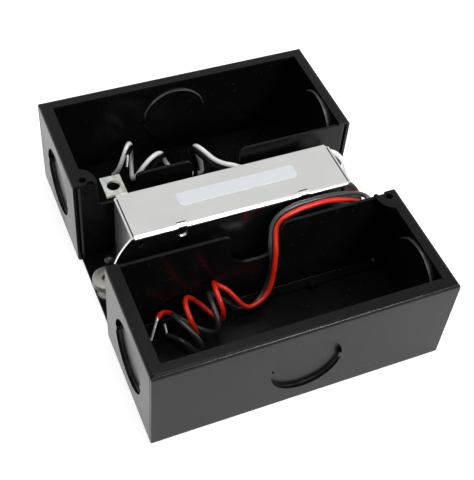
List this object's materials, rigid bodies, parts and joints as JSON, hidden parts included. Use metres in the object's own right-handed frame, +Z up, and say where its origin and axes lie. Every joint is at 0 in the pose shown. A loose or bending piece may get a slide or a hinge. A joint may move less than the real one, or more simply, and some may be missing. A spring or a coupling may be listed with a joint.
{
  "type": "led driver",
  "caption": "Slim metal-cased LED driver standing in a folded black steel box, with open wiring compartments for line and load leads, a ground lug and cover ears.",
  "frame": {"origin": "centre of the enclosure's base, on the mounting surface", "axes": "+X along the driver towards its lead end, +Y towards the line side, +Z up out of the open top"},
  "size_m": [0.118, 0.14, 0.0435],
  "materials": {
    "black_powder_coat": "semi-gloss black powder coat",
    "driver_case_sheet": "satin bare sheet",
    "label": "bare pale sticker",
    "zinc_plate": "dull zinc plating",
    "nickel_plate": "satin nickel plating",
    "black_plastic": "moulded black plastic",
    "white_insulation": "semi-gloss lead insulation",
    "black_insulation": "semi-gloss lead insulation",
    "red_insulation": "semi-gloss lead insulation",
    "tinned_copper": "tinned strands",
    "insulation_film": "insulating film",
    "board": "green solder mask",
    "ferrite": "matt ferrite",
    "winding_tape": "wound and taped",
    "component_sleeve": "printed-free sleeve",
    "heat_spreader_sheet": "plain sheet"
  },
  "bodies": {
    "root": {"enclosure_pan": "black_powder_coat", "line_side_partition": "black_powder_coat", "load_side_partition": "black_powder_coat", "driver_channel": "driver_case_sheet", "driver_tray": "driver_case_sheet", "blank_label": "label", "ground_lug": "zinc_plate", "ground_lug_rivet": "zinc_plate", "foot_studs": "zinc_plate", "thumb_nuts": "nickel_plate", "locating_stud": "black_plastic", "line_lead_bushing": "black_plastic", "load_lead_bushing": "black_plastic", "rectifier_diodes": "black_plastic", "switching_transistors": "black_plastic", "white_line_lead": "white_insulation", "line_lead_coil": "white_insulation", "black_line_lead": "black_insulation", "black_load_lead": "black_insulation", "red_load_lead": "red_insulation", "load_lead_coil": "red_insulation", "line_lead_tips": "tinned_copper", "load_lead_tips": "tinned_copper", "insulation_sheet": "insulation_film", "board_spacers": "insulation_film", "circuit_board": "board", "transformer_core": "ferrite", "output_inductor": "ferrite", "transformer_winding": "winding_tape", "input_choke": "winding_tape", "bulk_capacitors": "component_sleeve", "film_capacitor": "component_sleeve", "input_fuse": "component_sleeve", "heat_spreader": "heat_spreader_sheet"}
  },
  "joints": []
}
